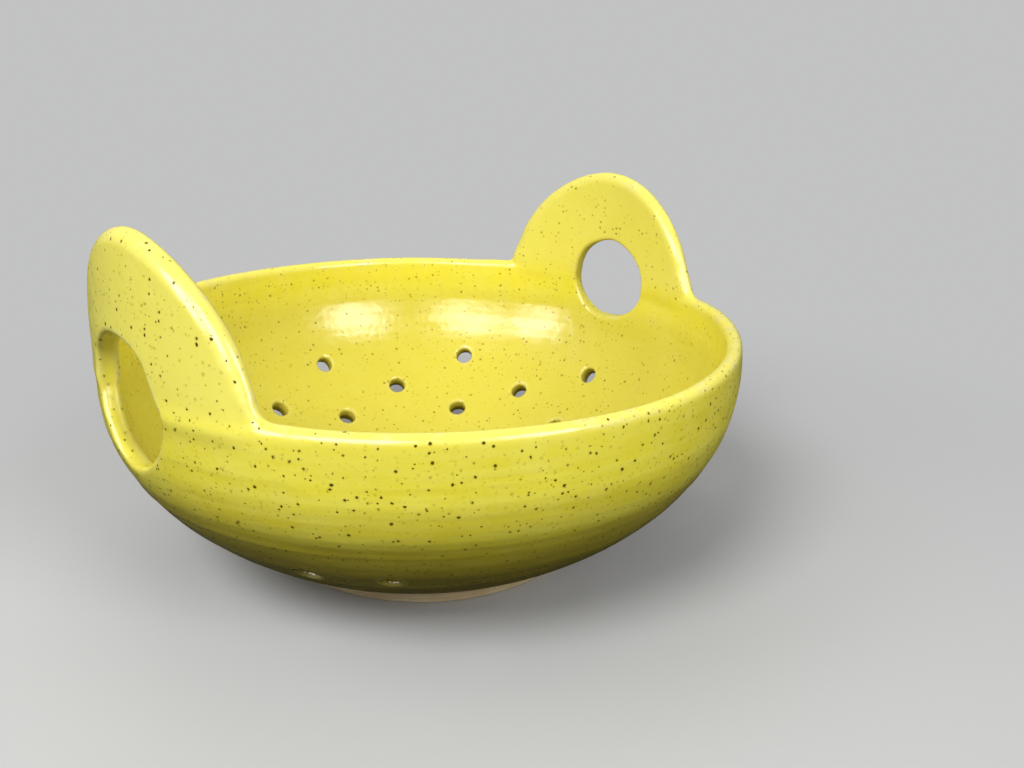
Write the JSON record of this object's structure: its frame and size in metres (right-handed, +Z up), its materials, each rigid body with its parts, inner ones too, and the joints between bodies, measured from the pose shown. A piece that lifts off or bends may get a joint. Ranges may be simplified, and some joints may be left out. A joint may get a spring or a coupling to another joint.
{
  "type": "berry colander bowl",
  "caption": "Round stoneware bowl on a foot ring, with drain holes in its wall and floor and two arched slab handles that rise from the rim, each with a finger hole.",
  "frame": {"origin": "on the bowl's axis, on the surface that it stands on", "axes": "+Z up along the bowl's axis, +X towards the right handle"},
  "size_m": [0.2274, 0.2288, 0.13],
  "materials": {
    "yellow_glaze": "gloss lemon-yellow glaze with dark iron specks",
    "bare_clay": "unglazed buff stoneware with fine specks"
  },
  "bodies": {
    "root": {"bowl": "yellow_glaze", "foot_ring": "bare_clay", "left_handle": "yellow_glaze", "right_handle": "yellow_glaze", "left_outer_coil": "yellow_glaze", "left_inner_coil": "yellow_glaze", "right_outer_coil": "yellow_glaze", "right_inner_coil": "yellow_glaze"}
  },
  "joints": []
}
